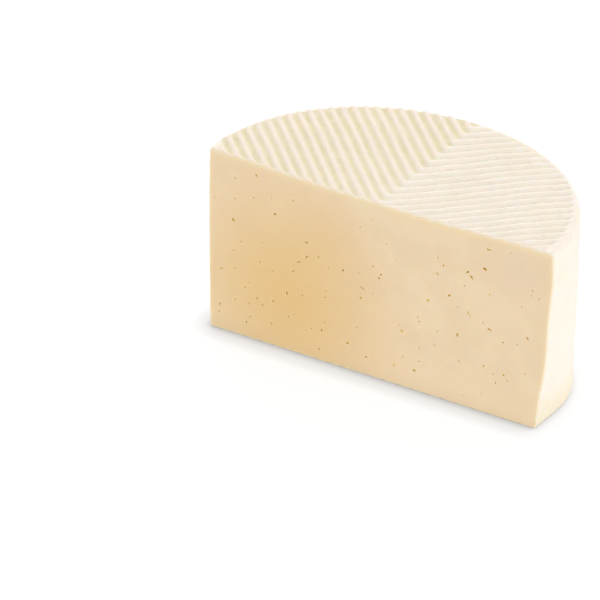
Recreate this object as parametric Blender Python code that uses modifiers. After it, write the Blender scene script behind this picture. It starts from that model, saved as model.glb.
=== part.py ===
"""Half a wheel of young mixed milk cheese, modelled in metres with +Z up.

The wheel is pressed between two boards that print a herringbone of ridges on both flat faces, and a knife
then halves it across that pattern's seam. The cut face looks along -Y and shows the small eyes of the paste.
The origin is the middle of the box that the half wheel stands in, at the height it rests on.
"""

import math
import random

import bmesh
import bpy
from mathutils import Matrix, Vector

MM = 0.001

# The wheel: size, the rounding of its rims and how far the knife passes in front of its axis.
WHEEL_RADIUS = 98.0 * MM
WHEEL_HEIGHT = 100.2 * MM
TOP_RIM_RADIUS = 4.2 * MM
BOTTOM_RIM_RADIUS = 1.8 * MM
CUT_OFFSET = 1.4 * MM

# A soft wheel is never quite round. Each wave of its outline: number of bulges, height, phase in degrees.
OUTLINE_WAVES = (
    (2, 1.5 * MM, 46),
    (3, 1.3 * MM, -63),
    (4, 0.3 * MM, 87),
)

# The side leans in towards the foot, and more at the foot of the right-hand corner of the cut.
FOOT_LEAN = 1.2 * MM
CORNER_LEAN = 6.3 * MM
CORNER_SPREAD = math.radians(17)

# The left-hand corner of the cut was pressed in a little by the knife, less towards the foot.
SOFT_CORNER_DEPTH = 2.0 * MM
SOFT_CORNER_SPREAD = math.radians(4.5)

# The top falls a little from left to right, more steeply on the right, and sags in its middle.
LEFT_FALL = 0.008
RIGHT_FALL = 0.018
TOP_SAG = 2.1 * MM
TOP_SAG_RADIUS = 75 * MM

# The herringbone: distance between ridges along its seam, where the seam and one valley lie, how steeply
# the ridges run away from the seam on each side, and how deep the boards print them.
RIDGE_SPACING = 7.9 * MM
SEAM_X = 0.6 * MM
VALLEY_ON_SEAM = 3.1 * MM
LEFT_RIDGE_SLOPE = 0.984
RIGHT_RIDGE_SLOPE = 0.92
TOP_PRINT_DEPTH = 1.3 * MM
BOTTOM_PRINT_DEPTH = 0.5 * MM
ROWS_PER_RIDGE = 4
BOARD_COLUMNS = 12
BOARD_REACH = 108 * MM
BOARD_THICKNESS = 12 * MM

# The turned body stands this far proud of the boards, which then shape both flat faces.
SPARE = 0.3 * MM
TURN_STEPS = 144
RIM_STEPS = 4
SIDE_LEVELS = 7

# The eyes that stand out on the cut face, in millimetres from the wheel's axis and its foot: x, z, length,
# breadth and tilt in degrees. The small ones between them follow a seeded draw.
LARGE_EYES = (
    (-82.5, 64.2, 2.0, 1.1, -47),
    (-68.7, 92.6, 2.6, 1.0, -62),
    (-58.1, 74.4, 1.4, 1.1, -8),
    (-51.4, 32.4, 2.8, 1.1, 80),
    (-47.8, 45.5, 1.8, 0.8, 205),
    (-44.0, 51.9, 2.9, 0.6, 17),
    (-39.5, 64.0, 2.1, 0.8, -8),
    (-40.0, 55.7, 1.9, 0.9, 228),
    (-32.7, 58.0, 1.7, 0.7, 15),
    (-31.0, 17.3, 1.8, 1.1, 60),
    (-18.6, 54.7, 1.3, 1.1, 0),
    (-16.0, 14.6, 2.6, 0.8, 207),
    (-7.1, 48.1, 3.6, 0.6, -22),
    (-8.6, 42.1, 2.1, 0.8, 232),
    (3.2, 58.9, 1.3, 1.0, 30),
    (2.1, 56.7, 1.3, 1.0, 10),
    (22.8, 11.2, 1.9, 0.9, -8),
    (30.3, 52.8, 2.6, 1.2, 17),
    (35.3, 68.9, 2.2, 0.7, -35),
    (41.8, 59.0, 1.4, 1.1, 213),
    (46.9, 38.4, 2.3, 1.1, -67),
    (51.8, 74.8, 1.9, 1.1, 224),
    (53.3, 51.8, 4.6, 0.7, -54),
    (54.4, 72.5, 2.6, 1.0, -50),
    (61.6, 79.3, 2.8, 1.2, -22),
    (63.8, 90.5, 2.9, 0.7, -4),
    (64.8, 47.0, 2.2, 0.9, -23),
    (73.1, 24.3, 1.6, 0.9, 75),
    (85.9, 48.4, 2.4, 0.9, -37),
)
SMALL_EYE_COUNT = 30
SMALL_EYE_LENGTH = (1.1 * MM, 2.0 * MM)
SMALL_EYE_BREADTH = (0.8 * MM, 1.2 * MM)
EYE_DEPTH_SHARE = 0.8
EYE_MARGIN = 7 * MM
EYE_CLEARANCE = 4.5 * MM
EYE_SEED = 11

PASTE_COLOUR = (0.87, 0.71, 0.48, 1.0)


def clear_scene():
    for obj in list(bpy.data.objects):
        bpy.data.objects.remove(obj, do_unlink=True)


def new_collection(name):
    collection = bpy.data.collections.new(name)
    bpy.context.scene.collection.children.link(collection)
    return collection


def object_from_bmesh(bm, name, collection):
    mesh = bpy.data.meshes.new(name)
    bm.to_mesh(mesh)
    bm.free()
    obj = bpy.data.objects.new(name, mesh)
    collection.objects.link(obj)
    return obj


def as_cutter(obj):
    obj.hide_render = True
    obj.display_type = "WIRE"
    return obj


def plan_radius(angle):
    """Radius of the uneven outline at an angle round the wheel's axis."""
    radius = WHEEL_RADIUS
    for count, height, phase in OUTLINE_WAVES:
        radius += height * math.cos(count * angle + math.radians(phase))
    return radius


def bell(offset, spread):
    return math.exp(-((offset / spread) ** 2))


def lean(angle, height):
    """How far the side is drawn in at an angle and a height above the foot."""
    down = min(max(1 - height / WHEEL_HEIGHT, 0), 1)
    right_corner = CORNER_LEAN * bell(angle, CORNER_SPREAD) * down**1.8
    pressed = bell(math.pi - abs(angle), SOFT_CORNER_SPREAD)
    left_corner = SOFT_CORNER_DEPTH * pressed * (1 - down) ** 1.5
    return FOOT_LEAN * down**2 + right_corner + left_corner


def rim_arc(centre_height, rim_radius, start, end):
    """Points (radius, height) of a rounded rim, between two angles above the level outward direction."""
    inner = WHEEL_RADIUS - rim_radius
    points = []
    for step in range(RIM_STEPS + 1):
        turn = start + (end - start) * step / RIM_STEPS
        points.append((inner + rim_radius * math.cos(turn), centre_height + rim_radius * math.sin(turn)))
    return points


def top_fall(x):
    """How far the top has fallen at a place across the cut."""
    return (RIGHT_FALL if x > 0 else LEFT_FALL) * x


def wheel_profile():
    """Half section of the turned body, from the top's middle down its side to the middle of the foot."""
    top, foot = WHEEL_HEIGHT + SPARE, -SPARE
    upper, lower = top - TOP_RIM_RADIUS, foot + BOTTOM_RIM_RADIUS
    level_step = (lower - upper) / SIDE_LEVELS
    side = [(WHEEL_RADIUS, upper + level_step * level) for level in range(1, SIDE_LEVELS)]
    top_rim = rim_arc(upper, TOP_RIM_RADIUS, math.pi / 2, 0)
    bottom_rim = rim_arc(lower, BOTTOM_RIM_RADIUS, 0, -math.pi / 2)
    return [(0, top), *top_rim, *side, *bottom_rim, (0, foot)]


def turned_wheel(collection):
    """The whole wheel: its profile turned about the axis, then made uneven and leaning like the real one."""
    bm = bmesh.new()
    verts = [bm.verts.new((radius, 0, height)) for radius, height in wheel_profile()]
    for above, below in zip(verts, verts[1:]):
        bm.edges.new((above, below))
    outline = object_from_bmesh(bm, "profile", collection)
    turn = outline.modifiers.new("turn", "SCREW")
    turn.axis = "Z"
    turn.steps = turn.render_steps = TURN_STEPS
    turn.use_merge_vertices = True
    turn.merge_threshold = 0.00005
    graph = bpy.context.evaluated_depsgraph_get()
    mesh = bpy.data.meshes.new_from_object(outline.evaluated_get(graph))
    bpy.data.objects.remove(outline, do_unlink=True)

    for vert in mesh.vertices:
        x, y, height = vert.co
        share = math.hypot(x, y) / WHEEL_RADIUS
        angle = math.atan2(y, x)
        radius = share * (plan_radius(angle) - lean(angle, height))
        x, y = radius * math.cos(angle), radius * math.sin(angle)
        vert.co = (x, y, height - top_fall(x) * max(height / WHEEL_HEIGHT, 0))
    mesh.name = "cheese"
    wheel = bpy.data.objects.new("cheese", mesh)
    collection.objects.link(wheel)
    return wheel


def is_valley(row, on_top):
    """Whether a board's row is in a valley: two of four on top, and one below, where crests are flat."""
    place = row % ROWS_PER_RIDGE
    return place >= 2 if on_top else place == 2


def top_height(x, y):
    """Height of the pressed top's crests."""
    sag = TOP_SAG * max(1 - (x * x + y * y) / TOP_SAG_RADIUS**2, 0)
    return WHEEL_HEIGHT - top_fall(x) - sag


def press_board(name, collection, on_top):
    """One board of the press: a slab whose pressing face is a herringbone of ridges, mitred on the seam."""
    row_step = RIDGE_SPACING / ROWS_PER_RIDGE
    rows = math.ceil(2.1 * BOARD_REACH / row_step)
    # Rows half a step either side of this one are a valley's two edges, so that the valley is centred on it.
    ridges_in_front = math.ceil(BOARD_REACH / RIDGE_SPACING)
    first_row_y = VALLEY_ON_SEAM - row_step * (ridges_in_front * ROWS_PER_RIDGE + 2.5)
    column_step = 2 * BOARD_REACH / BOARD_COLUMNS

    bm = bmesh.new()
    bmesh.ops.create_grid(bm, x_segments=BOARD_COLUMNS, y_segments=rows, size=0.5)
    for vert in bm.verts:
        column = round((vert.co.x + 0.5) * BOARD_COLUMNS)
        row = round((vert.co.y + 0.5) * rows)
        from_seam = (column - BOARD_COLUMNS / 2) * column_step
        slope = RIGHT_RIDGE_SLOPE if from_seam > 0 else LEFT_RIDGE_SLOPE
        x = SEAM_X + from_seam
        y = first_row_y + row * row_step + slope * abs(from_seam)
        if on_top:
            height = top_height(x, y) - TOP_PRINT_DEPTH * is_valley(row, on_top)
        else:
            height = BOTTOM_PRINT_DEPTH * is_valley(row, on_top)
        vert.co = (x, y, height)
    away = WHEEL_HEIGHT + BOARD_THICKNESS if on_top else -BOARD_THICKNESS
    raised = bmesh.ops.extrude_face_region(bm, geom=bm.faces[:])["geom"]
    for item in raised:
        if isinstance(item, bmesh.types.BMVert):
            item.co.z = away
    bmesh.ops.recalc_face_normals(bm, faces=bm.faces[:])
    return as_cutter(object_from_bmesh(bm, name, collection))


def knife(collection):
    """The half that is cut away, as one block in front of the cut plane."""
    bpy.ops.mesh.primitive_cube_add(size=1)
    block = bpy.context.object
    block.name = "knife"
    span = 3 * WHEEL_RADIUS
    block.scale = (span, span, span)
    block.location = (0, -CUT_OFFSET - span / 2, WHEEL_HEIGHT / 2)
    for owner in list(block.users_collection):
        owner.objects.unlink(block)
    collection.objects.link(block)
    return as_cutter(block)


def eye_table():
    """Every eye as (x, z, length, breadth, tilt): those listed, then small ones drawn clear of them."""
    eyes = []
    for x, z, length, breadth, tilt in LARGE_EYES:
        eyes.append((x * MM, z * MM, length * MM, breadth * MM, math.radians(tilt)))
    draw = random.Random(EYE_SEED)
    wanted = len(eyes) + SMALL_EYE_COUNT
    while len(eyes) < wanted:
        x = draw.uniform(-WHEEL_RADIUS + EYE_MARGIN, WHEEL_RADIUS - EYE_MARGIN)
        z = draw.uniform(EYE_MARGIN, WHEEL_HEIGHT - EYE_MARGIN)
        length = draw.uniform(*SMALL_EYE_LENGTH)
        breadth = draw.uniform(*SMALL_EYE_BREADTH)
        tilt = draw.uniform(-math.pi / 2, math.pi / 2)
        if all(math.hypot(x - eye[0], z - eye[1]) > EYE_CLEARANCE for eye in eyes):
            eyes.append((x, z, length, breadth, tilt))
    return eyes


def eye_cutters(collection):
    """An ellipsoid for each eye, half sunk in the cut face."""
    for number, (x, z, length, breadth, tilt) in enumerate(eye_table()):
        bm = bmesh.new()
        bmesh.ops.create_uvsphere(bm, u_segments=8, v_segments=5, radius=1)
        size = Matrix.Diagonal((length / 2, EYE_DEPTH_SHARE * breadth, breadth / 2, 1))
        bmesh.ops.transform(bm, matrix=size, verts=bm.verts)
        eye = object_from_bmesh(bm, f"eye_{number:02d}", collection)
        eye.location = (x, -CUT_OFFSET, z)
        eye.rotation_euler = (0, -tilt, 0)
        as_cutter(eye)


def paste_material():
    material = bpy.data.materials.new("cheese_paste")
    material.use_nodes = True
    shader = material.node_tree.nodes["Principled BSDF"]
    shader.inputs["Base Color"].default_value = PASTE_COLOUR
    shader.inputs["Roughness"].default_value = 0.5
    shader.inputs["Metallic"].default_value = 0.0
    return material


def centre_on_origin(obj, cutters):
    """Moves the half wheel and all that shapes it, so that the finished box is centred over the origin."""
    graph = bpy.context.evaluated_depsgraph_get()
    corners = [Vector(corner) for corner in obj.evaluated_get(graph).bound_box]
    middle_x = (min(c.x for c in corners) + max(c.x for c in corners)) / 2
    middle_y = (min(c.y for c in corners) + max(c.y for c in corners)) / 2
    for item in [obj, *cutters.objects]:
        item.location.x -= middle_x
        item.location.y -= middle_y


def main():
    clear_scene()
    parts = new_collection("half_wheel_of_cheese")
    cutters = new_collection("cutters")

    cheese = turned_wheel(parts)
    press_board("top_board", cutters, on_top=True)
    press_board("bottom_board", cutters, on_top=False)
    knife(cutters)
    eye_cutters(cutters)

    carve = cheese.modifiers.new("carve", "BOOLEAN")
    carve.operation = "DIFFERENCE"
    carve.operand_type = "COLLECTION"
    carve.collection = cutters
    carve.solver = "EXACT"
    cheese.data.materials.append(paste_material())
    cheese.data.shade_smooth()
    cheese.data.set_sharp_from_angle(angle=math.radians(35))

    bpy.context.view_layer.update()
    centre_on_origin(cheese, cutters)


main()
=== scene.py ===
"""Looks of half a wheel of young mixed milk cheese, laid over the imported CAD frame.

One fine mesh stands for the whole half wheel. It has the soft herringbone of ridges that the press boards
print on both flat faces, the rounded rims, the dished top, the knife's edge and the small eyes of the paste.
Three procedural materials finish it: the pale rind, the cream paste of the cut and the ochre walls of the
eyes.

The shapes are worked out in a frame with the wheel's axis as +Z, and moved onto the CAD solid at the end.
"""

import itertools
import math

import bmesh
import bpy
import numpy as np
from mathutils import Matrix, Vector


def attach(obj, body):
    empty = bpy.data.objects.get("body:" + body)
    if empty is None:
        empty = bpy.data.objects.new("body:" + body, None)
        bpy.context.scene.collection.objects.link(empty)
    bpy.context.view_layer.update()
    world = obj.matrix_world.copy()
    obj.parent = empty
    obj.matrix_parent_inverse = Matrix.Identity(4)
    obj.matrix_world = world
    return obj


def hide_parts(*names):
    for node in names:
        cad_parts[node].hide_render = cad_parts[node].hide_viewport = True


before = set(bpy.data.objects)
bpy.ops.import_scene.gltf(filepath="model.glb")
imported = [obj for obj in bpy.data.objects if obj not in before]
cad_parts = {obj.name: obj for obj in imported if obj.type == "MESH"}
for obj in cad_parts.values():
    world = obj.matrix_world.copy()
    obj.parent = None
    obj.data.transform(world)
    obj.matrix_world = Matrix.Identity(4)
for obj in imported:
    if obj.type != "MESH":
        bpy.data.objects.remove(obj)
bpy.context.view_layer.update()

MM = 0.001

# Where the wheel's axis stands in the frame of the CAD model.
AXIS = Vector((-0.612 * MM, -47.227 * MM, 0))

# The wheel: size, the rounding of its rims and how far the knife passes in front of its axis.
WHEEL_RADIUS = 98.0 * MM
WHEEL_HEIGHT = 100.2 * MM
TOP_RIM_RADIUS = 4.2 * MM
LEFT_RIM_RADIUS = 1.0 * MM
LEFT_RIM_SPREAD = math.radians(6)
RIGHT_RIM_RADIUS = 2.2 * MM
RIGHT_RIM_SPREAD = math.radians(8)
BOTTOM_RIM_RADIUS = 1.8 * MM
CUT_OFFSET = 1.4 * MM
CUT_EDGE_RADIUS = 0.55 * MM
CUT_EDGE_SEGMENTS = 3

# A soft wheel is never quite round. Each wave of its outline: number of bulges, height and phase in degrees.
OUTLINE_WAVES = (
    (2, 1.5 * MM, 46),
    (3, 1.3 * MM, -63),
    (4, 0.3 * MM, 87),
)

# The side leans in towards the foot, and more at the foot of the right-hand corner of the cut.
FOOT_LEAN = 1.2 * MM
CORNER_LEAN = 6.3 * MM
CORNER_SPREAD = math.radians(17)
FOOT_LEAN_POWER = 2
CORNER_LEAN_POWER = 1.8

# The left-hand corner of the cut was pressed in a little by the knife, less towards the foot.
SOFT_CORNER_DEPTH = 2.0 * MM
SOFT_CORNER_SPREAD = math.radians(4.5)
SOFT_CORNER_POWER = 1.5

# The right-hand edge of the cut is wavy: how far, the length of a wave, the height of a crest and its
# spread.
CORNER_WAVE = 0.4 * MM
CORNER_WAVE_LENGTH = 45 * MM
CORNER_WAVE_CREST = 84 * MM
CORNER_WAVE_SPREAD = math.radians(14)

# The top falls a little from left to right, more steeply on the right, and sags in its middle. The body below
# follows it over this depth.
LEFT_FALL = 0.008
RIGHT_FALL = 0.018
TOP_SAG = 2.1 * MM
TOP_SAG_RADIUS = 75 * MM
PRESS_REACH = 12 * MM

# The herringbone: distance between ridges along its seam, where the seam and one valley lie, how steeply the
# ridges run away from the seam on each side, how far their mitre is rounded, and how deep they are printed.
RIDGE_SPACING = 7.9 * MM
SEAM_X = 0.6 * MM
VALLEY_ON_SEAM = 3.1 * MM
LEFT_RIDGE_SLOPE = 0.984
RIGHT_RIDGE_SLOPE = 0.92
MITRE_ROUNDING = 0.9 * MM
TOP_PRINT_DEPTH = 1.3 * MM
BOTTOM_PRINT_DEPTH = 0.5 * MM

# Shape of a ridge: below 1 the crest is broader than the valley.
TOP_CREST_POWER = 0.75
BOTTOM_CREST_POWER = 0.35

# Beside the cut the print is worn down to a share of its depth, and is whole again this far behind it.
PRINT_LEFT_AT_CUT = 0.5
WORN_REACH = 3.5 * MM

# The ridges stop this far from the rim, and reach their full height over the same distance again. The
# shoulder is wider at both corners of the cut.
RIM_SHOULDER = 0.6 * MM
CORNER_SHOULDER = 3.6 * MM
SHOULDER_SPREAD = math.radians(50)
LEFT_SHOULDER = 3 * MM
LEFT_SHOULDER_SPREAD = math.radians(5)

# Unevenness of the print: how far ridges wander and tremble, how much their depth varies, and the top's
# grain. Each comes with the distance over which it changes.
RIDGE_WANDER = (0.35 * MM, 22 * MM)
RIDGE_TREMBLE = (0.2 * MM, 3.5 * MM)
DEPTH_VARIATION = ((0.22, 9 * MM), (0.12, 2.6 * MM))
TOP_GRAIN = (0.1 * MM, 1.7 * MM)

# Unevenness of the side and of the cut: greatest depth and size of the shallow hollows.
SIDE_HOLLOWS = ((0.45 * MM, 28 * MM), (0.26 * MM, 6.5 * MM))
CUT_HOLLOWS = ((0.14 * MM, 34 * MM), (0.05 * MM, 6 * MM))

# Seeds of the noise in each kind of unevenness, and the cells along each side of its table.
TOP_SEED = 1
BOTTOM_SEED = 4
DEPTH_SEED = 7
GRAIN_SEED = 12
SIDE_SEED = 20
CUT_SEED = 30
EYE_SHAPE_SEED = 40
NOISE_CELLS = 64

# Fineness of the mesh. Levels crowd towards the rims by this share.
COLUMNS = 256
ROWS = 128
LEVELS = 52
LEVEL_CROWDING = 0.6
UNDERSIDE_FACES = 12000

# The underside that is thinned: its highest point, its distance behind the cut and how far down its
# normal points.
UNDERSIDE_TOP = 1.2 * MM
UNDERSIDE_MARGIN = 3 * MM
DOWNWARD = -0.9

# A face of the cut looks forward at least this much, and a point of it lies this close to the cut's plane.
FORWARD = -0.75
PLANE_TOLERANCE = 1e-7

# Least length of a diagonal, as a share of the rounding's radius, so that nothing is divided by zero.
TINY_SHARE = 1e-6

# Edges steeper than this stay sharp in the shading.
SHARP_ANGLE = math.radians(40)

# The eyes that stand out on the cut face, in millimetres from the wheel's axis and its foot: x, z, length,
# breadth, tilt in degrees and depth. Each has a deep round end, and tapers in the direction of its tilt.
LARGE_EYES = (
    (-82.5, 64.2, 2.0, 1.1, -47, 1.1),
    (-68.7, 92.6, 2.6, 1.0, -62, 0.7),
    (-58.1, 74.4, 1.4, 1.1, -8, 1.3),
    (-51.4, 32.4, 2.8, 1.1, 80, 0.9),
    (-47.8, 45.5, 1.8, 0.8, 205, 0.8),
    (-44.0, 51.9, 2.9, 0.6, 17, 0.8),
    (-39.5, 64.0, 2.1, 0.8, -8, 1.0),
    (-40.0, 55.7, 1.9, 0.9, 228, 1.1),
    (-32.7, 58.0, 1.7, 0.7, 15, 0.7),
    (-31.0, 17.3, 1.8, 1.1, 60, 0.8),
    (-18.6, 54.7, 1.3, 1.1, 0, 1.2),
    (-16.0, 14.6, 2.6, 0.8, 207, 0.9),
    (-7.1, 48.1, 3.6, 0.6, -22, 0.7),
    (-8.6, 42.1, 2.1, 0.8, 232, 0.7),
    (3.2, 58.9, 1.3, 1.0, 30, 1.1),
    (2.1, 56.7, 1.3, 1.0, 10, 1.0),
    (22.8, 11.2, 1.9, 0.9, -8, 1.2),
    (30.3, 52.8, 2.6, 1.2, 17, 0.55),
    (35.3, 68.9, 2.2, 0.6, -35, 0.7),
    (41.8, 59.0, 1.4, 1.1, 213, 1.3),
    (46.9, 38.4, 2.3, 1.1, -67, 1.0),
    (51.8, 74.8, 1.9, 1.1, 224, 1.2),
    (53.3, 51.8, 4.6, 0.7, -54, 0.5),
    (54.4, 72.5, 2.6, 1.0, -50, 1.0),
    (61.6, 79.3, 2.4, 1.1, -22, 1.4),
    (63.8, 90.5, 2.9, 0.7, -4, 0.7),
    (64.8, 47.0, 2.2, 0.9, -23, 1.0),
    (73.1, 24.3, 1.6, 0.9, 75, 0.7),
    (85.9, 48.4, 2.4, 0.9, -37, 0.9),
)

# The faint small eyes: x, z and length. Their breadth, tilt and depth are drawn at random.
SMALL_EYES = (
    (-93.1, 73.9, 0.8), (-81.4, 76.4, 0.8), (-81.2, 87.9, 1.1), (-70.3, 80.3, 0.9), (-59.8, 82.9, 0.8),
    (-47.4, 85.3, 1.0), (-42.3, 33.6, 0.9), (-28.7, 36.5, 1.1), (-28.4, 40.4, 0.9), (-26.8, 53.5, 1.1),
    (-13.6, 82.0, 0.7), (-9.1, 56.6, 0.8), (-8.9, 81.7, 0.8), (-1.9, 87.7, 0.8), (-1.4, 62.2, 1.0),
    (-1.3, 47.2, 0.9), (6.3, 76.9, 0.7), (11.0, 70.1, 0.8), (14.3, 34.1, 0.8), (17.4, 60.0, 0.8),
    (24.5, 41.7, 1.0), (25.4, 39.4, 1.1), (34.0, 29.4, 0.8), (35.5, 78.1, 1.3), (35.9, 37.3, 0.9),
    (38.5, 74.5, 1.2), (47.0, 54.1, 0.8), (47.9, 24.3, 1.1), (50.5, 66.8, 0.9), (60.9, 10.1, 0.9),
    (61.1, 49.6, 0.8), (61.9, 25.9, 1.1), (64.5, 66.6, 1.0), (67.3, 23.1, 0.8), (72.3, 42.2, 1.1),
    (75.3, 21.8, 0.9), (75.9, 92.3, 0.7), (80.5, 43.6, 0.9), (82.2, 64.7, 1.0), (85.0, 28.7, 1.0),
    (87.5, 72.6, 1.1), (88.1, 75.1, 1.0), (91.6, 71.6, 1.1),
)

# More small eyes are drawn at random in two fields of the cut: how many, and how far left, right and up each
# field reaches. The photograph hides the first. In the second, along the foot, the lists hold only the
# clearer eyes.
DRAWN_EYES = (
    (20, -92 * MM, -56 * MM, 58 * MM),
    (14, -54 * MM, 80 * MM, 34 * MM),
)

# The small eyes: range of the drawn lengths in millimetres, of breadth as a share of length, and of depth in
# millimetres.
SMALL_EYE_LENGTH = (0.7, 1.8)
SMALL_EYE_ROUNDNESS = (0.45, 0.85)
SMALL_EYE_DEPTH = (0.4, 0.8)

# Shape of every eye: how much it tapers, how uneven its outline is and the grain of that unevenness. Drawn eyes
# stay this far above the foot and from their neighbours.
EYE_TAPER = 0.4
EYE_UNEVENNESS = 0.3
EYE_UNEVENNESS_GRAIN = 0.8
EYE_MARGIN = 6 * MM
EYE_CLEARANCE = 3 * MM
EYE_SIDES = 18
EYE_SEED = 11

# Profile of an eye, from before the cut inwards. Its lip: how far behind the cut in millimetres, and how much
# wider than the eye as a share of the eye's breadth. Its bowl: angles in degrees from the lip to the bottom.
EYE_LIP = ((-0.2, 0.42), (0.03, 0.27), (0.07, 0.17), (0.14, 0.05))
EYE_BOWL = (12, 35, 62)

# How much of the painted highlight on the eye's lip shows.
LIP_HIGHLIGHT_SHARE = 0.45

# The camera, set by the photograph: its angle above the horizon, its turn from the cut's normal, its distance
# from the foot of the wheel's axis, the lens, and the pixel where that foot is seen.
CAMERA_ELEVATION = math.radians(29.386)
CAMERA_TURN = math.radians(32.539)
CAMERA_DISTANCE = 2463.4 * MM
FOCAL_PIXELS = 5002.7
AXIS_FOOT_PIXEL = (375.79, 376.56)
PICTURE_SIZE = 600
SENSOR_WIDTH_MM = 36

# Light: an even white surround and two soft lamps. Each lamp: its name, strength, turn and elevation.
SURROUND_STRENGTH = 0.93
LAMPS = (
    ("right", 0.54, math.radians(0), math.radians(15)),
    ("back", 0.75, math.radians(130), math.radians(20)),
)
LAMP_SOFTNESS = math.radians(35)

# The floor glows like a lit studio sweep, apart from a narrow shade where something stands on it. Each part of
# the shade: its reach and its depth. The light that the shade comes from leans to the right and back.
FLOOR_REACH = 3.0
FLOOR_COLOUR = (0.3, 0.3, 0.3, 1)
FLOOR_GLOW = 0.74
SHADES = ((14 * MM, 0.58), (4 * MM, 0.5))
SHADE_LEAN = (0.55, 0.4, 1.0)
SHADE_SAMPLES = 16

# Colours, as linear red, green and blue.
CREST_COLOUR = (0.905, 0.827, 0.724, 1)
# Painted shade: the crests left of the seam are darker.
SHADED_LEFT_CREST_COLOUR = (0.873, 0.765, 0.657, 1)
# The valleys are darker and yellower: partly their own colour, partly painted shade.
VALLEY_COLOUR_AND_SHADE = (0.79, 0.705, 0.448, 1)
SPECK_COLOUR = (0.72, 0.62, 0.36, 1)
# Painted shade: the rind darkens and yellows towards the foot.
FOOT_SHADE_COLOUR = (0.86, 0.76, 0.57, 1)
RIND_STAIN = (0.85, 0.765, 0.62, 1)
PASTE_COLOUR = (0.82, 0.643, 0.426, 1)
PASTE_PALE = (0.85, 0.68, 0.456, 1)
# The paste is paler along the edges of the cut, partly as a painted highlight.
PASTE_EDGE_AND_HIGHLIGHT = (0.865, 0.70, 0.425, 1)
# Painted light: the paste is paler towards the foot, as if lit by the floor.
PASTE_FOOT_LIGHT = (0.88, 0.69, 0.45, 1)
CUT_EDGE_COLOUR = (0.865, 0.745, 0.57, 1)
# Painted highlight on the lip of an eye.
LIP_HIGHLIGHT_COLOUR = (0.95, 0.82, 0.60, 1)
EYE_COLOUR = (0.79, 0.615, 0.25, 1)
# Deeper in, the eye's wall is darker: partly its own colour, partly painted shade.
EYE_DEEP_COLOUR_AND_SHADE = (0.69, 0.475, 0.07, 1)

# The valleys' colour, partly painted shade, is weaker on the right of the seam, so there they differ less from
# their crests. The colours meet over this width. The painted shade at the foot reaches this far up the rind,
# and the painted light at the foot this far up the paste.
RIGHT_VALLEY_TINT_AND_SHADE = 0.28
SEAM_BLEND = 4 * MM
FOOT_SHADE_REACH = 22 * MM
PASTE_FOOT_LIGHT_REACH = 30 * MM

# Broad patches in the paste: x and z from the wheel's axis and foot, radius, and colour. Two are golden, in the
# lower left and above it: painted warm reflected light. One is dull, at the upper right.
PASTE_CLOUDS_AND_REFLECTED_LIGHT = (
    (-29 * MM, 71 * MM, 34 * MM, (0.81, 0.61, 0.37, 1)),
    (-51 * MM, 31 * MM, 84 * MM, (0.79, 0.548, 0.243, 1)),
    (80 * MM, 82 * MM, 24 * MM, (0.805, 0.632, 0.44, 1)),
)

# How far the paleness of the edges, partly a painted highlight on the rounded edges, reaches into the paste,
# and the edge's own colour into paste and rind. The pale band is this many times broader below the top than at
# the side, and narrower by that much at the foot.
PALE_REACH_MM = 3.4
PASTE_EDGE_REACH_MM = 1.6
RIND_EDGE_REACH_MM = 2.4
TOP_BAND_STRETCH = 1.7

# How light spreads below the surface: the share of red, green and blue, and the distance.
SCATTER_RADIUS = (1.0, 0.6, 0.3)
SCATTER_DEPTH = 1.5 * MM


def plan_radius(angle):
    """Radius of the uneven outline at an angle round the wheel's axis."""
    waves = 0
    for count, height, phase in OUTLINE_WAVES:
        waves = waves + height * np.cos(count * angle + math.radians(phase))
    return WHEEL_RADIUS + waves


def bell(offset, spread):
    return np.exp(-((offset / spread) ** 2))


def smooth_step(value):
    """Rises smoothly from 0 to 1 as the value does, and stays level outside that range."""
    value = np.clip(value, 0, 1)
    return value * value * (3 - 2 * value)


def lean(angle, height):
    """How far the side is drawn in at an angle and a height above the foot."""
    down = np.clip(1 - height / WHEEL_HEIGHT, 0, 1)
    wave = np.cos(2 * math.pi * (height - CORNER_WAVE_CREST) / CORNER_WAVE_LENGTH)
    wavy_edge = CORNER_WAVE * (1 - wave) * bell(angle, CORNER_WAVE_SPREAD)
    right_corner = CORNER_LEAN * bell(angle, CORNER_SPREAD) * down**CORNER_LEAN_POWER
    pressed = bell(math.pi - np.abs(angle), SOFT_CORNER_SPREAD)
    left_corner = SOFT_CORNER_DEPTH * pressed * (1 - down) ** SOFT_CORNER_POWER
    return FOOT_LEAN * down**FOOT_LEAN_POWER + right_corner + left_corner + wavy_edge


def soft_noise(points, grain, seed):
    """Smooth random values from -1 to 1 at some points, which change over distances of about the grain."""
    table = np.random.default_rng(seed).uniform(-1, 1, (NOISE_CELLS, NOISE_CELLS, NOISE_CELLS))
    place = points / grain
    cell = np.floor(place).astype(int)
    part = smooth_step(place - cell)
    total = np.zeros(len(points))
    for corner in itertools.product((0, 1), repeat=3):
        index = (cell + corner) % NOISE_CELLS
        weight = np.prod(np.where(corner, part, 1 - part), axis=1)
        total += weight * table[index[:, 0], index[:, 1], index[:, 2]]
    return total


def hollow_depth(points, hollows, seed):
    """Depth of some layers of shallow hollows, each given by its greatest depth and its size."""
    depth = 0
    for number, (size, grain) in enumerate(hollows):
        depth = depth + size * (1 + soft_noise(points, grain, seed + number)) / 2
    return depth


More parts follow.
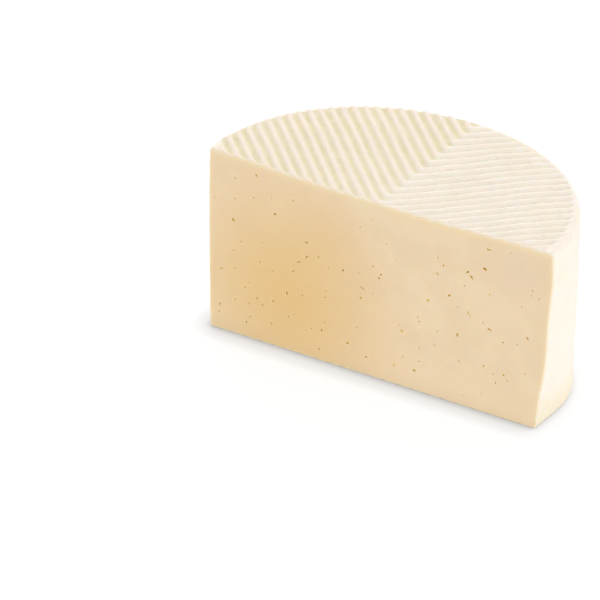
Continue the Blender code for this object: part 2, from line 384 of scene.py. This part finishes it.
def box_lattice(counts):
    """Points, in whole steps along three axes, and outward quads of the surface of a box lattice."""
    blocks = []
    for axis in range(3):
        across, along = (axis + 1) % 3, (axis + 2) % 3
        steps_across, steps_along = np.meshgrid(np.arange(counts[across]), np.arange(counts[along]))
        for end in (0, counts[axis]):
            ring = ((0, 0), (1, 0), (1, 1), (0, 1)) if end else ((0, 0), (0, 1), (1, 1), (1, 0))
            block = np.empty((steps_across.size, 4, 3), int)
            for place, (step_across, step_along) in enumerate(ring):
                block[:, place, axis] = end
                block[:, place, across] = steps_across.ravel() + step_across
                block[:, place, along] = steps_along.ravel() + step_along
            blocks.append(block)
    corners = np.concatenate(blocks).reshape(-1, 3)
    points, index = np.unique(corners, axis=0, return_inverse=True)
    return points, index.reshape(-1, 4)


def rounded(from_side, from_flat, radius):
    """Distances from two faces that meet at right angles, changed so that their edge is rounded."""
    inside_side = np.maximum(radius - from_side, 0)
    inside_flat = np.maximum(radius - from_flat, 0)
    longest = np.maximum(inside_side, inside_flat)
    diagonal = np.maximum(np.hypot(inside_side, inside_flat), radius * TINY_SHARE)
    pull = 1 - longest / diagonal
    return from_side + inside_side * pull, from_flat + inside_flat * pull


def half_disc_place(steps):
    """How far out each lattice point lies, from 0 to 1, and its angle round the wheel's axis."""
    sideways = 2 * steps[:, 0] / COLUMNS - 1
    backwards = steps[:, 1] / ROWS
    reach = np.maximum(np.abs(sideways), backwards)
    safe_reach = np.maximum(reach, 1 / COLUMNS)
    at_back = backwards > np.abs(sideways)
    on_right = backwards / safe_reach
    eighths = np.where(sideways > 0, on_right, 4 - on_right)
    eighths = np.where(at_back, 2 - sideways / safe_reach, eighths)
    first_angle = -math.asin(CUT_OFFSET / WHEEL_RADIUS)
    return reach, first_angle + (math.pi - 2 * first_angle) * eighths / 4


def body_points(steps):
    """The lattice bent into a half disc with rounded rims, before anything is printed on it."""
    reach, angle = half_disc_place(steps)
    level = steps[:, 2] / LEVELS
    crowded = 0.5 - 0.5 * np.cos(math.pi * level)
    height = WHEEL_HEIGHT * ((1 - LEVEL_CROWDING) * level + LEVEL_CROWDING * crowded)

    from_side = (1 - reach) * WHEEL_RADIUS
    left_sharper = (LEFT_RIM_RADIUS - TOP_RIM_RADIUS) * bell(math.pi - angle, LEFT_RIM_SPREAD)
    right_sharper = (RIGHT_RIM_RADIUS - TOP_RIM_RADIUS) * bell(angle, RIGHT_RIM_SPREAD)
    rim_radius = TOP_RIM_RADIUS + left_sharper + right_sharper
    from_side, from_top = rounded(from_side, WHEEL_HEIGHT - height, rim_radius)
    height = WHEEL_HEIGHT - from_top
    from_side, height = rounded(from_side, height, BOTTOM_RIM_RADIUS)

    share = 1 - from_side / WHEEL_RADIUS
    radius = plan_radius(angle) - lean(angle, height)
    x = share * radius * np.cos(angle)
    y = share * (radius * np.sin(angle) + CUT_OFFSET) - CUT_OFFSET
    y[steps[:, 1] == 0] = -CUT_OFFSET
    return np.stack([x, y, height], axis=1)


def is_cut_border(edge):
    """Whether an edge lies between the cut face and the rind."""
    plane = -CUT_OFFSET + PLANE_TOLERANCE
    on_cut = [all(vert.co.y < plane for vert in face.verts) for face in edge.link_faces]
    return len(on_cut) == 2 and on_cut[0] != on_cut[1]


def soften_cut_edges(mesh):
    """Takes the sharpness off the edges that the knife left."""
    bm = bmesh.new()
    bm.from_mesh(mesh)
    border = [edge for edge in bm.edges if is_cut_border(edge)]
    bmesh.ops.bevel(
        bm,
        geom=border,
        offset=CUT_EDGE_RADIUS,
        offset_type="OFFSET",
        segments=CUT_EDGE_SEGMENTS,
        profile=0.5,
        affect="EDGES",
    )
    bm.to_mesh(mesh)
    bm.free()


def mesh_points(mesh):
    points = np.empty(3 * len(mesh.vertices))
    mesh.vertices.foreach_get("co", points)
    return points.reshape(-1, 3)


def set_mesh_points(mesh, points):
    mesh.vertices.foreach_set("co", points.ravel())
    mesh.update()


def rim_distance(points):
    """How far inside the side each point lies."""
    angle = np.arctan2(points[:, 1], points[:, 0])
    edge = plan_radius(angle) - lean(angle, points[:, 2])
    return edge - np.hypot(points[:, 0], points[:, 1])


def crest_share(points, power, seed):
    """The herringbone: 1 on a crest and 0 in a valley. Mitred ridges on both sides of the seam."""
    flat = points * (1, 1, 0)
    wander = RIDGE_WANDER[0] * soft_noise(flat, RIDGE_WANDER[1], seed)
    tremble = RIDGE_TREMBLE[0] * soft_noise(flat, RIDGE_TREMBLE[1], seed + 1)
    from_seam = points[:, 0] - SEAM_X
    slope = np.where(from_seam > 0, RIGHT_RIDGE_SLOPE, LEFT_RIDGE_SLOPE)
    out = np.hypot(from_seam, MITRE_ROUNDING)
    along_seam = points[:, 1] - slope * out + wander + tremble
    turn = 2 * math.pi * (along_seam - VALLEY_ON_SEAM) / RIDGE_SPACING
    return (0.5 - 0.5 * np.cos(turn)) ** power


def shoulder(points):
    """Share of the print that is left near the rim, where the ridges run out."""
    angle = np.arctan2(points[:, 1], points[:, 0])
    bare = RIM_SHOULDER + (CORNER_SHOULDER - RIM_SHOULDER) * bell(angle, SHOULDER_SPREAD)
    bare += LEFT_SHOULDER * bell(math.pi - np.abs(angle), LEFT_SHOULDER_SPREAD)
    return smooth_step((rim_distance(points) - bare) / bare)


def worn_share(points):
    """Share of the print that is left beside the cut, where the knife and the hands wore it down."""
    behind = (points[:, 1] + CUT_OFFSET) / WORN_REACH
    return PRINT_LEFT_AT_CUT + (1 - PRINT_LEFT_AT_CUT) * smooth_step(behind)


def top_valleys(points):
    """Depth share of the valleys on top, from 0 to 1."""
    return (1 - crest_share(points, TOP_CREST_POWER, TOP_SEED)) * shoulder(points)


def bottom_valleys(points):
    """Depth share of the valleys on the underside, between crests that the cheese's weight has flattened."""
    return (1 - crest_share(points, BOTTOM_CREST_POWER, BOTTOM_SEED)) * shoulder(points)


def top_drop(x, y):
    """How far the top lies below the wheel's full height, apart from the print."""
    fall = np.where(x > 0, RIGHT_FALL, LEFT_FALL) * x
    sag = TOP_SAG * np.clip(1 - (x * x + y * y) / TOP_SAG_RADIUS**2, 0, None)
    return fall + sag


def print_on(points):
    """Presses the points of the smooth body between the boards."""
    x, y, height = points.T
    flat = points * (1, 1, 0)
    near_top = smooth_step(1 - (WHEEL_HEIGHT - height) / PRESS_REACH)
    near_foot = smooth_step(1 - height / PRESS_REACH)
    change = 0
    for number, (size, reach) in enumerate(DEPTH_VARIATION):
        change = change + size * soft_noise(flat, reach, DEPTH_SEED + number)
    depth = TOP_PRINT_DEPTH * (1 + change)
    grain = hollow_depth(flat, (TOP_GRAIN,), GRAIN_SEED)
    left = worn_share(points)
    drop = top_drop(x, y) + depth * (left * top_valleys(points) + (1 - left) / 2) + grain
    rise = BOTTOM_PRINT_DEPTH * left * bottom_valleys(points)
    points[:, 2] = height - near_top * drop + near_foot * rise
    return points


def wear_side(points):
    """Shallow hollows in the side, which is only as even as the mould's cloth left it."""
    x, y, height = points.T
    at_side = smooth_step(1 - rim_distance(points) / TOP_RIM_RADIUS)
    depth = hollow_depth(points, SIDE_HOLLOWS, SIDE_SEED)
    inwards = 1 - depth * at_side / WHEEL_RADIUS
    return np.stack([x * inwards, y * np.where(y > 0, inwards, 1), height], axis=1)


def cut_depth(points):
    """How far the knife's faint waviness goes into the paste."""
    edge = np.minimum(rim_distance(points), np.minimum(points[:, 2], WHEEL_HEIGHT - points[:, 2]))
    return hollow_depth(points, CUT_HOLLOWS, CUT_SEED) * smooth_step(edge / PRESS_REACH)


def wave_cut(points):
    """Lays the cut face into the knife's waves."""
    on_cut = smooth_step(1 - (points[:, 1] + CUT_OFFSET) / CUT_EDGE_RADIUS)
    points[:, 1] += cut_depth(points * (1, 0, 1)) * on_cut
    return points


def thin_underside(obj):
    """Keeps fewer faces where the print is shallow and out of sight."""
    mesh = obj.data
    front = -CUT_OFFSET + UNDERSIDE_MARGIN
    inside = [
        vert.index
        for vert in mesh.vertices
        if vert.co.z < UNDERSIDE_TOP and vert.co.y > front and vert.normal.z < DOWNWARD
    ]
    group = obj.vertex_groups.new(name="underside")
    group.add(inside, 1, "REPLACE")
    kept = len(mesh.polygons) - len([face for face in mesh.polygons if face.normal.z < DOWNWARD])
    thin = obj.modifiers.new("thin", "DECIMATE")
    thin.vertex_group = group.name
    thin.ratio = (kept + UNDERSIDE_FACES / 2) / len(mesh.polygons)


def stand_on_floor(mesh):
    """Lifts the few points of the thinned underside that came to lie below the floor."""
    points = mesh_points(mesh)
    points[:, 2] = np.maximum(points[:, 2], 0)
    set_mesh_points(mesh, points)


def small_eye(x, z, length, draw):
    breadth = length * draw.uniform(*SMALL_EYE_ROUNDNESS)
    return x, z, length, breadth, draw.uniform(-90, 90), draw.uniform(*SMALL_EYE_DEPTH)


def eye_table():
    """Every eye, in millimetres and degrees: the listed ones, then drawn ones clear of all the others."""
    draw = np.random.default_rng(EYE_SEED)
    eyes = list(LARGE_EYES)
    eyes += [small_eye(*row, draw) for row in SMALL_EYES]
    for count, left, right, top in DRAWN_EYES:
        wanted = len(eyes) + count
        while len(eyes) < wanted:
            x = draw.uniform(left, right) / MM
            z = draw.uniform(EYE_MARGIN, top) / MM
            if all(math.hypot(x - eye[0], z - eye[1]) > EYE_CLEARANCE / MM for eye in eyes):
                eyes.append(small_eye(x, z, draw.uniform(*SMALL_EYE_LENGTH), draw))
    return eyes


def eye_rings(length, breadth, depth):
    """Half length, half breadth and place behind the cut of each ring of an eye, in millimetres."""
    rings = [(length / 2 + wider * breadth, breadth * (0.5 + wider), behind) for behind, wider in EYE_LIP]
    lip_depth = EYE_LIP[-1][0]
    for angle in EYE_BOWL:
        share = math.cos(math.radians(angle))
        behind = lip_depth + (depth - lip_depth) * math.sin(math.radians(angle))
        rings.append((length / 2 * share, breadth / 2 * share, behind))
    return rings


def eye_cutter(number, x, z, length, breadth, tilt, depth, bm):
    """One uneven hollow with a soft lip, deep and round at one end and tapering to the other."""
    turns = np.arange(EYE_SIDES) * 2 * math.pi / EYE_SIDES
    circle = np.stack([np.cos(turns), np.sin(turns), np.full(EYE_SIDES, number * math.e)], axis=1)
    swell = 1 + EYE_UNEVENNESS * soft_noise(circle, EYE_UNEVENNESS_GRAIN, EYE_SHAPE_SEED)
    taper = 1 - EYE_TAPER * np.cos(turns)
    surface = cut_depth(np.array([[x, 0, z]]) * MM)[0]
    turn = Matrix.Rotation(-math.radians(tilt), 4, "Y")
    place = Matrix.Translation((x * MM, surface - CUT_OFFSET, z * MM)) @ turn

    rings = []
    for half_length, half_breadth, behind in eye_rings(length, breadth, depth):
        across = half_length * swell * np.cos(turns)
        up = half_breadth * swell * taper * np.sin(turns)
        inwards = behind * (taper if behind > 0 else np.ones(EYE_SIDES))
        points = np.stack([across, inwards, up], axis=1) * MM
        rings.append([bm.verts.new(place @ Vector(point)) for point in points])
    for outer, inner in itertools.pairwise(rings):
        for side in range(EYE_SIDES):
            after = (side + 1) % EYE_SIDES
            bm.faces.new((outer[side], inner[side], inner[after], outer[after]))
    bm.faces.new(rings[0])
    bm.faces.new(rings[-1][::-1])


def eye_cutters(material):
    bm = bmesh.new()
    for number, eye in enumerate(eye_table()):
        eye_cutter(number, *eye, bm)
    bmesh.ops.recalc_face_normals(bm, faces=bm.faces)
    mesh = bpy.data.meshes.new("eye_cutters")
    bm.to_mesh(mesh)
    bm.free()
    mesh.materials.append(material)
    cutters = bpy.data.objects.new("eye_cutters", mesh)
    bpy.context.scene.collection.objects.link(cutters)
    return cutters


def paint_faces(mesh):
    """Gives the cut face the paste and all other faces the rind."""
    for face in mesh.polygons:
        on_cut = face.normal.y < FORWARD and face.center.y < -CUT_OFFSET + CUT_EDGE_RADIUS
        face.material_index = 1 if on_cut else 0


def add_attribute(mesh, name, values):
    attribute = mesh.attributes.new(name, "FLOAT", "POINT")
    attribute.data.foreach_set("value", values.astype(np.float32))


def mark_surface(mesh):
    """Stores what the materials need.

    That is how deep each point is in a valley, which sets the valleys' colour and painted shade, whether it
    lies on top and left of the seam, where the crests are painted darker as shade, and its distances in
    millimetres from the border of the cut and behind the cut.
    """
    points = mesh_points(mesh)
    top = points[:, 2] > WHEEL_HEIGHT / 2
    near_flat = smooth_step(1 - np.minimum(points[:, 2], np.abs(WHEEL_HEIGHT - points[:, 2])) / PRESS_REACH)
    left = smooth_step(0.5 + (SEAM_X - points[:, 0]) / SEAM_BLEND)
    # The painted shade in the valleys is weaker right of the seam.
    tint = RIGHT_VALLEY_TINT_AND_SHADE + (1 - RIGHT_VALLEY_TINT_AND_SHADE) * left
    top_tint = tint * worn_share(points) * top_valleys(points)
    valley_tint_and_shade = np.where(top, top_tint, bottom_valleys(points)) * near_flat
    # On top and left of the seam, where the crests are painted darker as shade.
    add_attribute(mesh, "left", np.where(top, left * shoulder(points), 0) * near_flat)
    below_top = WHEEL_HEIGHT - top_drop(points[:, 0], points[:, 1]) - points[:, 2]
    from_flats = np.minimum(points[:, 2] * TOP_BAND_STRETCH, below_top / TOP_BAND_STRETCH)
    border = np.minimum(rim_distance(points), from_flats)
    add_attribute(mesh, "valley_tint_and_shade", valley_tint_and_shade)
    add_attribute(mesh, "border", np.clip(border / MM, 0, None))
    behind = points[:, 1] + CUT_OFFSET - cut_depth(points * (1, 0, 1))
    add_attribute(mesh, "behind", np.clip(behind / MM, 0, None))


def apply_modifiers(obj):
    graph = bpy.context.evaluated_depsgraph_get()
    mesh = bpy.data.meshes.new_from_object(obj.evaluated_get(graph))
    obj.modifiers.clear()
    obj.data = mesh


class Shader:
    """A material whose nodes are added one by one, each with its inputs given by name."""

    def __init__(self, name):
        self.material = bpy.data.materials.new(name)
        self.material.use_nodes = True
        self.tree = self.material.node_tree
        self.surface = self.tree.nodes["Principled BSDF"]
        self.place = self.add("ShaderNodeTexCoord").outputs["Object"]

    def feed(self, socket, value):
        if isinstance(value, bpy.types.NodeSocket):
            self.tree.links.new(value, socket)
        else:
            socket.default_value = value

    def add(self, kind, inputs=None, **settings):
        node = self.tree.nodes.new(kind)
        for name, value in settings.items():
            setattr(node, name, value)
        for name, value in (inputs or {}).items():
            self.feed(node.inputs[name], value)
        return node

    def noise(self, grain, detail=2, roughness=0.5, place=None):
        """Noise with features of about the grain, in metres."""
        inputs = {"Vector": place or self.place, "Scale": 1 / grain, "Detail": detail, "Roughness": roughness}
        return self.add("ShaderNodeTexNoise", inputs).outputs["Fac"]

    def stretched(self, scale):
        """The object's coordinates, scaled along each axis."""
        return self.add("ShaderNodeMapping", {"Vector": self.place, "Scale": scale}).outputs["Vector"]

    def attribute(self, name):
        return self.add("ShaderNodeAttribute", attribute_name=name).outputs["Fac"]

    def along(self, axis):
        """The place along one axis, in metres."""
        return self.add("ShaderNodeSeparateXYZ", {"Vector": self.place}).outputs[axis]

    def distance(self, centre):
        """Distance from a point, in metres."""
        node = self.add("ShaderNodeVectorMath", operation="DISTANCE")
        self.feed(node.inputs[0], self.place)
        self.feed(node.inputs[1], centre)
        return node.outputs["Value"]

    def ramp(self, value, low, high, to_low=0, to_high=1):
        """Maps a range of values onto another, smoothly."""
        inputs = {"Value": value, "From Min": low, "From Max": high, "To Min": to_low, "To Max": to_high}
        return self.add("ShaderNodeMapRange", inputs, interpolation_type="SMOOTHSTEP").outputs["Result"]

    def ramp_linear(self, value, low, high, to_low, to_high):
        """Maps a range of values onto another, evenly."""
        inputs = {"Value": value, "From Min": low, "From Max": high, "To Min": to_low, "To Max": to_high}
        return self.add("ShaderNodeMapRange", inputs).outputs["Result"]

    def maths(self, operation, first, second):
        node = self.add("ShaderNodeMath", operation=operation)
        self.feed(node.inputs[0], first)
        self.feed(node.inputs[1], second)
        return node.outputs[0]

    def mix(self, share, first, second):
        node = self.add("ShaderNodeMix", data_type="RGBA")
        self.feed(node.inputs["Factor"], share)
        self.feed(node.inputs[6], first)
        self.feed(node.inputs[7], second)
        return node.outputs[2]

    def bump(self, height, depth, below=None):
        """Raises the surface by a height from 0 to 1, times a depth in metres, over any bump below."""
        inputs = {"Height": height, "Distance": depth, "Strength": 1.0}
        if below is not None:
            inputs["Normal"] = below
        return self.add("ShaderNodeBump", inputs).outputs["Normal"]

    def finish(self, colour, roughness, normal, scatter, specular):
        self.feed(self.surface.inputs["Base Color"], colour)
        self.feed(self.surface.inputs["Roughness"], roughness)
        self.feed(self.surface.inputs["Normal"], normal)
        self.surface.inputs["Subsurface Weight"].default_value = scatter
        self.surface.inputs["Subsurface Radius"].default_value = SCATTER_RADIUS
        self.surface.inputs["Subsurface Scale"].default_value = SCATTER_DEPTH
        self.surface.inputs["Specular IOR Level"].default_value = specular
        return self.material


def rind_material():
    """Dry ivory skin: pale crests, darker left of the seam as painted shade, yellower valleys that are partly
    painted shade, painted shade towards the foot, faint stains, fine grain and tiny pits.
    """
    shader = Shader("rind")
    # Painted shade: darker crests left of the seam.
    crest = shader.mix(shader.attribute("left"), CREST_COLOUR, SHADED_LEFT_CREST_COLOUR)
    # Valleys darker and yellower, partly painted shade.
    valley_tint_and_shade = shader.ramp(shader.attribute("valley_tint_and_shade"), 0.0, 0.9)
    patches = shader.ramp(shader.noise(5 * MM, detail=3), 0.3, 0.7, 0.72, 1.0)
    colour = shader.mix(shader.maths("MULTIPLY", valley_tint_and_shade, patches), crest, VALLEY_COLOUR_AND_SHADE)
    stains = shader.ramp(shader.noise(16 * MM, detail=4), 0.45, 0.75, 0.0, 0.45)
    colour = shader.mix(stains, colour, RIND_STAIN)
    # Painted shade towards the foot.
    painted_foot_light = shader.ramp(shader.along("Z"), 0.0, FOOT_SHADE_REACH, 0.95, 0.0)
    colour = shader.mix(painted_foot_light, colour, FOOT_SHADE_COLOUR)
    specks = shader.ramp(shader.noise(1.1 * MM, detail=2), 0.64, 0.78)
    colour = shader.mix(shader.maths("MULTIPLY", specks, valley_tint_and_shade), colour, SPECK_COLOUR)
    edge = shader.ramp(shader.attribute("behind"), 0.0, RIND_EDGE_REACH_MM, 1.0, 0.0)
    colour = shader.mix(edge, colour, CUT_EDGE_COLOUR)
    roughness = shader.ramp(shader.noise(2 * MM, detail=3), 0.3, 0.7, 0.5, 0.66)
    grain = shader.bump(shader.noise(0.9 * MM, detail=4, roughness=0.6), 0.12 * MM)
    pits = shader.ramp(shader.noise(1.6 * MM, detail=1), 0.28, 0.36)
    return shader.finish(colour, roughness, shader.bump(pits, 0.15 * MM, below=grain), 0.3, 0.3)


def paste_colour(shader):
    """Cream with faint broad clouds, golden patches of painted reflected light, and painted light that makes it
    a little paler towards the foot.
    """
    clouds = shader.ramp(shader.noise(22 * MM, detail=4, roughness=0.6), 0.35, 0.65)
    colour = shader.mix(clouds, PASTE_COLOUR, PASTE_PALE)
    # Painted light: paler towards the foot.
    painted_foot_light = shader.ramp(shader.along("Z"), 0.0, PASTE_FOOT_LIGHT_REACH, 0.6, 0.0)
    colour = shader.mix(painted_foot_light, colour, PASTE_FOOT_LIGHT)
    # Painted warm reflected light in the two golden patches.
    for x, z, radius, patch_colour in PASTE_CLOUDS_AND_REFLECTED_LIGHT:
        near = shader.ramp(shader.distance(AXIS + Vector((x, -CUT_OFFSET, z))), 0.0, radius, 1.0, 0.0)
        colour = shader.mix(near, colour, patch_colour)
    return colour


def paste_material():
    """Moist cream paste, with paler borders by the rind, partly a painted highlight, and the knife's fine drag.
    """
    shader = Shader("paste")
    colour = paste_colour(shader)
    border = shader.attribute("border")
    # Paler border, partly a painted highlight.
    colour = shader.mix(shader.ramp(border, 0.0, PALE_REACH_MM, 0.9, 0.0), colour, PASTE_EDGE_AND_HIGHLIGHT)
    colour = shader.mix(shader.ramp(border, 0.0, PASTE_EDGE_REACH_MM, 1.0, 0.0), colour, CUT_EDGE_COLOUR)
    roughness = shader.ramp(shader.noise(4 * MM, detail=4), 0.3, 0.7, 0.42, 0.58)
    drag = shader.noise(1.6 * MM, detail=3, place=shader.stretched((0.12, 1, 1)))
    dragged = shader.bump(drag, 0.05 * MM)
    grain = shader.noise(0.8 * MM, detail=4, roughness=0.65)
    return shader.finish(colour, roughness, shader.bump(grain, 0.07 * MM, below=dragged), 0.35, 0.35)


def eye_material():
    """Moist wall of an eye: a painted highlight on its lip, and golden to ochre further in, darker there partly
    as painted shade.
    """
    shader = Shader("eye_wall")
    behind = shader.attribute("behind")
    # Painted highlight on the lip.
    lip_highlight = shader.ramp(behind, 0.0, 0.03, 0.0, LIP_HIGHLIGHT_SHARE)
    highlighted_lip = shader.mix(lip_highlight, paste_colour(shader), LIP_HIGHLIGHT_COLOUR)
    # Darker deeper in, partly painted shade.
    inner = shader.mix(shader.ramp(behind, 0.25, 0.8), EYE_COLOUR, EYE_DEEP_COLOUR_AND_SHADE)
    colour = shader.mix(shader.ramp(behind, 0.08, 0.25), highlighted_lip, inner)
    roughness = shader.ramp(shader.noise(1 * MM), 0.3, 0.7, 0.3, 0.45)
    grain = shader.noise(0.5 * MM, detail=3)
    return shader.finish(colour, roughness, shader.bump(grain, 0.05 * MM), 0.15, 0.45)


def half_wheel():
    """The whole piece, from lattice to finished mesh."""
    steps, quads = box_lattice((COLUMNS, ROWS, LEVELS))
    mesh = bpy.data.meshes.new("half_wheel")
    mesh.from_pydata(body_points(steps).tolist(), [], quads.tolist())
    soften_cut_edges(mesh)
    set_mesh_points(mesh, wave_cut(wear_side(print_on(mesh_points(mesh)))))
    mesh.materials.append(rind_material())
    mesh.materials.append(paste_material())
    paint_faces(mesh)

    wheel = bpy.data.objects.new("half_wheel", mesh)
    bpy.context.scene.collection.objects.link(wheel)
    thin_underside(wheel)
    apply_modifiers(wheel)

    cutters = eye_cutters(eye_material())
    carve = wheel.modifiers.new("eyes", "BOOLEAN")
    carve.operation = "DIFFERENCE"
    carve.solver = "EXACT"
    carve.material_mode = "TRANSFER"
    carve.object = cutters
    apply_modifiers(wheel)
    bpy.data.objects.remove(cutters, do_unlink=True)

    stand_on_floor(wheel.data)
    mark_surface(wheel.data)
    wheel.data.shade_smooth()
    wheel.data.set_sharp_from_angle(angle=SHARP_ANGLE)
    wheel.data.transform(Matrix.Translation(AXIS))
    return wheel


def floor_material():
    """White studio sweep with a narrow soft shade round whatever stands on it."""
    shader = Shader("floor")
    x, y, z = Vector(SHADE_LEAN).normalized()
    towards_light = shader.add("ShaderNodeCombineXYZ", {"X": x, "Y": y, "Z": z}).outputs["Vector"]
    glow = FLOOR_GLOW
    for reach, depth in SHADES:
        inputs = {"Distance": reach, "Normal": towards_light}
        open_share = shader.add("ShaderNodeAmbientOcclusion", inputs, samples=SHADE_SAMPLES).outputs["AO"]
        glow = shader.maths("MULTIPLY", shader.ramp_linear(open_share, 0.0, 1.0, 1 - depth, 1.0), glow)
    surface = shader.surface.inputs
    surface["Base Color"].default_value = FLOOR_COLOUR
    surface["Roughness"].default_value = 1.0
    surface["Specular IOR Level"].default_value = 0.0
    surface["Emission Color"].default_value = (1, 1, 1, 1)
    shader.feed(surface["Emission Strength"], glow)
    return shader.material


def floor():
    """A plain pale floor."""
    bm = bmesh.new()
    bmesh.ops.create_grid(bm, x_segments=1, y_segments=1, size=FLOOR_REACH)
    mesh = bpy.data.meshes.new("floor")
    bm.to_mesh(mesh)
    bm.free()
    mesh.materials.append(floor_material())
    sheet = bpy.data.objects.new("floor", mesh)
    bpy.context.scene.collection.objects.link(sheet)


def lamp(name, strength, turn, elevation):
    """A soft lamp far away, given by the direction that it stands in."""
    light = bpy.data.lights.new(name, "SUN")
    light.energy = strength
    light.angle = LAMP_SOFTNESS
    stand = bpy.data.objects.new(name, light)
    level = math.cos(elevation)
    towards_lamp = Vector((level * math.cos(turn), level * math.sin(turn), math.sin(elevation)))
    stand.rotation_euler = towards_lamp.to_track_quat("Z", "Y").to_euler()
    stand.location = towards_lamp
    bpy.context.scene.collection.objects.link(stand)


def lights():
    world = bpy.data.worlds.new("surround")
    world.use_nodes = True
    world.node_tree.nodes["Background"].inputs["Color"].default_value = (1, 1, 1, 1)
    world.node_tree.nodes["Background"].inputs["Strength"].default_value = SURROUND_STRENGTH
    bpy.context.scene.world = world
    bpy.context.scene.view_settings.view_transform = "Standard"
    for each in LAMPS:
        lamp(*each)


def camera():
    """The photograph's view: a long lens that looks down, from the right of the cut's normal."""
    back = Vector((
        math.sin(CAMERA_TURN) * math.cos(CAMERA_ELEVATION),
        -math.cos(CAMERA_TURN) * math.cos(CAMERA_ELEVATION),
        math.sin(CAMERA_ELEVATION),
    ))
    right = Vector((math.cos(CAMERA_TURN), math.sin(CAMERA_TURN), 0))
    up = back.cross(right)
    size_of_pixel = CAMERA_DISTANCE / FOCAL_PIXELS
    sideways = (PICTURE_SIZE / 2 - AXIS_FOOT_PIXEL[0]) * size_of_pixel
    upwards = (AXIS_FOOT_PIXEL[1] - PICTURE_SIZE / 2) * size_of_pixel
    data = bpy.data.cameras.new("camera")
    data.sensor_width = SENSOR_WIDTH_MM
    data.lens = FOCAL_PIXELS / PICTURE_SIZE * SENSOR_WIDTH_MM
    view = bpy.data.objects.new("camera", data)
    turn = Matrix((right, up, back)).transposed().to_4x4()
    stand = AXIS + right * sideways + up * upwards + back * CAMERA_DISTANCE
    view.matrix_world = Matrix.Translation(stand) @ turn
    bpy.context.scene.collection.objects.link(view)
    bpy.context.scene.camera = view


def main():
    camera()
    lights()
    floor()
    wheel = half_wheel()
    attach(wheel, "root")
    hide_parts("cheese")


main()
